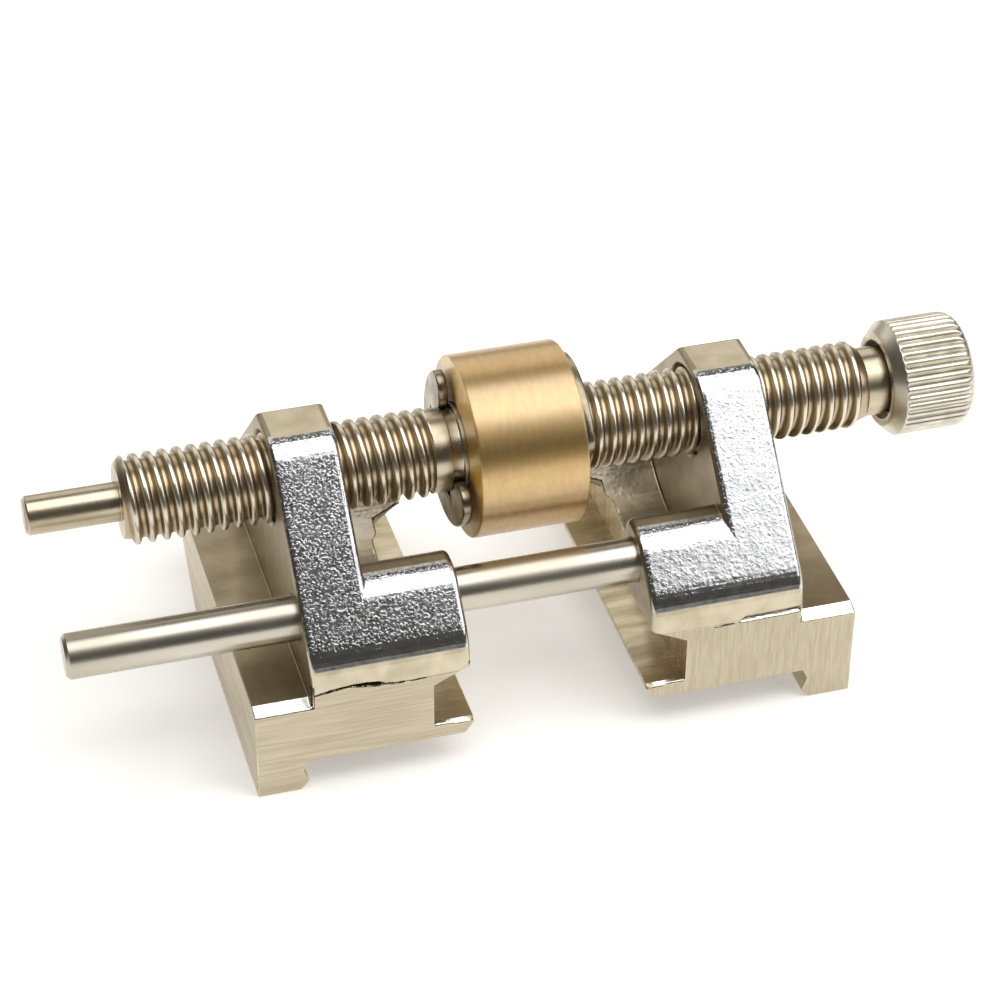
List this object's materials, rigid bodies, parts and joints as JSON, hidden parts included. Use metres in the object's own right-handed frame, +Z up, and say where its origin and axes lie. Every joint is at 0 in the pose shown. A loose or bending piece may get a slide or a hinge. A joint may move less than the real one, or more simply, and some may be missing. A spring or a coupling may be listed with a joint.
{
  "type": "side-clamping honing guide",
  "caption": "Sharpening guide with two cast clamping jaws on a double-threaded screw, a brass roller between them, a plain guide rod and a knurled knob.",
  "frame": {"origin": "middle of the guide's outline on the surface that the jaws' outer lips stand on", "axes": "+X along the screw towards the knob, +Y backwards from the ground front faces, +Z up towards the roller"},
  "size_m": [0.0842, 0.035, 0.0294],
  "materials": {
    "jaw_casting": "as cast with bright pebbled slopes and ground front faces",
    "screw_steel": "machined",
    "knob_nickel": "bright, knurled",
    "roller_brass": "turned satin",
    "clip_steel": "satin",
    "rod_steel": "ground satin"
  },
  "bodies": {
    "fixed_jaw": {"right_jaw": "jaw_casting", "guide_rod": "rod_steel"},
    "sliding_jaw": {"left_jaw": "jaw_casting"},
    "clips": {"left_clip": "clip_steel", "right_clip": "clip_steel"},
    "screw": {"spindle": "screw_steel", "knob": "knob_nickel"},
    "roller": {"roller": "roller_brass"}
  },
  "joints": [
    {"name": "jaw_slide", "type": "slide", "parent": "fixed_jaw", "child": "sliding_jaw", "axis": [1, 0, 0], "range_m": [-0.0186, 0.0149]},
    {"name": "screw_advance", "type": "slide", "parent": "fixed_jaw", "child": "clips", "axis": [1, 0, 0], "range_m": [-0.0093, 0.00745]},
    {"name": "knob_turn", "type": "hinge", "parent": "clips", "child": "screw", "pos_m": [0.00039, -0.00137, 0.02132], "axis": [-1, 0, 0], "range_deg": [-2679, 2146.5]},
    {"name": "roller_spin", "type": "hinge", "parent": "clips", "child": "roller", "pos_m": [0.00039, -0.00137, 0.02132], "axis": [1, 0, 0], "continuous": true}
  ],
  "couplings": [
    {"joint": "knob_turn", "follows": "jaw_slide", "rad_per_m": 2513.3},
    {"joint": "screw_advance", "follows": "jaw_slide", "ratio": 0.5}
  ]
}
